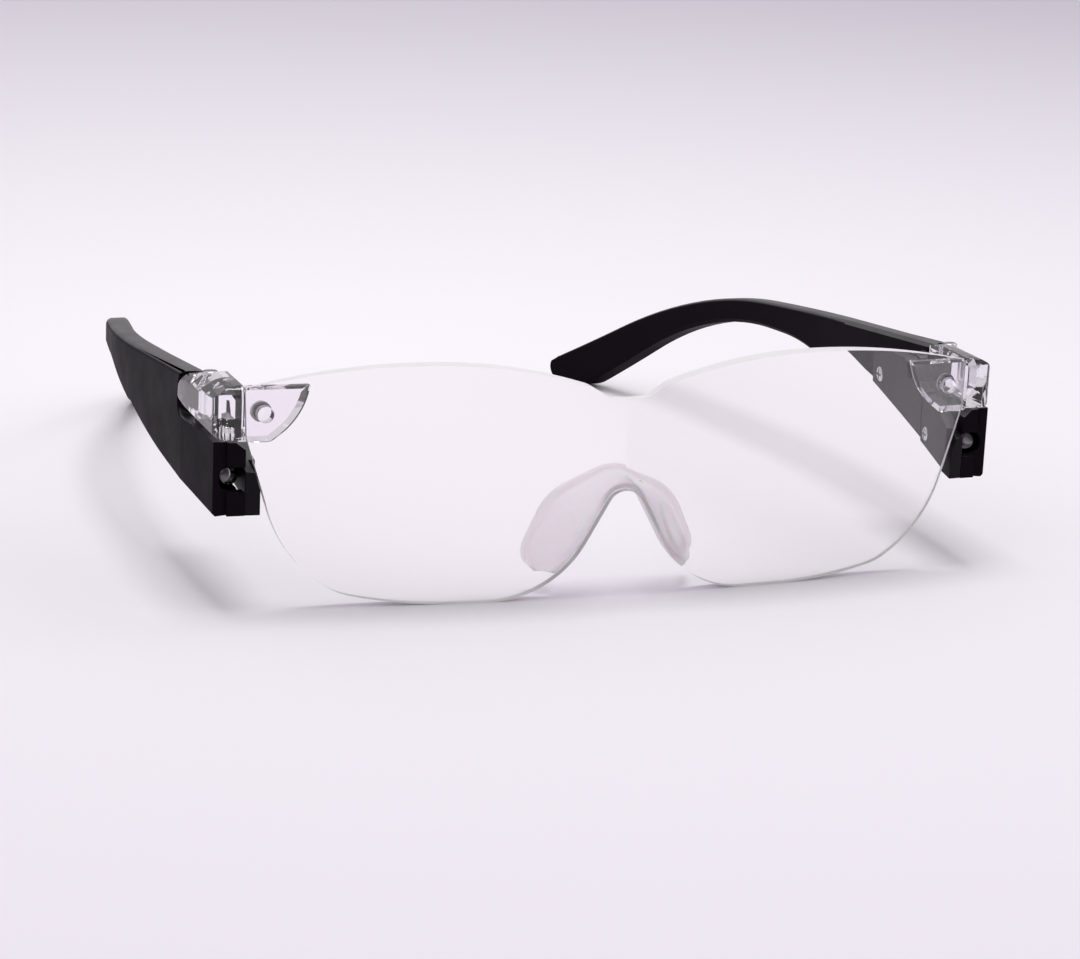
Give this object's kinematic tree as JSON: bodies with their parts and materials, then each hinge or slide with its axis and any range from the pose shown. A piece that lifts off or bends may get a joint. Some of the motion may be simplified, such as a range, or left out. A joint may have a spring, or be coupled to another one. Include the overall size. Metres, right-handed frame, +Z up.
{
  "type": "lighted magnifier glasses",
  "caption": "Folding magnifier glasses with a one-piece clear lens, clear hinged end pieces, silicone nose saddle and a lamp, switch and cells in each black temple.",
  "frame": {"origin": "on the table, under the middle of the whole part's box", "axes": "-Y towards the front of the lens, +Y to the temple tips, +Z up, +X to the wearer's left"},
  "size_m": [0.152, 0.169, 0.0437],
  "materials": {
    "clear_lens": "optically clear polished polycarbonate",
    "clear_end_piece": "clear glossy moulded polycarbonate",
    "milky_silicone": "translucent milky silicone, soft satin",
    "black_temple": "satin black moulded plastic",
    "black_cover": "satin black moulded plastic",
    "button_black": "matte black moulded plastic",
    "screw_steel": "bright nickel-plated steel",
    "lamp_epoxy": "clear epoxy lamp body",
    "board_green": "green solder mask",
    "chip_black": "moulded black component body",
    "cell_steel": "bright pressed steel can",
    "contact_metal": "gold-plated spring strip"
  },
  "bodies": {
    "front": {"lens": "clear_lens", "nose_saddle": "milky_silicone", "end_piece_left": "clear_end_piece", "end_piece_right": "clear_end_piece", "lens_pin_left": "clear_end_piece", "lens_pin_right": "clear_end_piece", "hinge_screw_left": "screw_steel", "hinge_screw_right": "screw_steel"},
    "temple_left": {"temple_left": "black_temple", "led_cover_left": "black_cover", "battery_door_left": "black_cover", "cover_screws_left": "screw_steel", "led_left": "lamp_epoxy", "circuit_board_left": "board_green", "resistor_left": "chip_black", "switch_body_left": "chip_black", "button_cells_left": "cell_steel", "contact_plate_left": "contact_metal", "contact_spring_left": "contact_metal"},
    "temple_right": {"temple_right": "black_temple", "led_cover_right": "black_cover", "battery_door_right": "black_cover", "cover_screws_right": "screw_steel", "led_right": "lamp_epoxy", "circuit_board_right": "board_green", "resistor_right": "chip_black", "switch_body_right": "chip_black", "button_cells_right": "cell_steel", "contact_plate_right": "contact_metal", "contact_spring_right": "contact_metal"},
    "power_button_left": {"power_button_left": "button_black"},
    "power_button_right": {"power_button_right": "button_black"}
  },
  "joints": [
    {"name": "temple_left_fold", "type": "hinge", "parent": "front", "child": "temple_left", "pos_m": [0.0725, -0.0655, 0.0353], "axis": [0, 0, 1], "range_deg": [0, 84]},
    {"name": "temple_right_fold", "type": "hinge", "parent": "front", "child": "temple_right", "pos_m": [-0.0725, -0.0655, 0.0353], "axis": [0, 0, -1], "range_deg": [0, 76]},
    {"name": "power_button_left_press", "type": "slide", "parent": "temple_left", "child": "power_button_left", "axis": [0, 0, 1], "range_m": [0, 0.0005], "stiffness_N_per_m": 1500},
    {"name": "power_button_right_press", "type": "slide", "parent": "temple_right", "child": "power_button_right", "axis": [0, 0, 1], "range_m": [0, 0.0005], "stiffness_N_per_m": 1500}
  ]
}
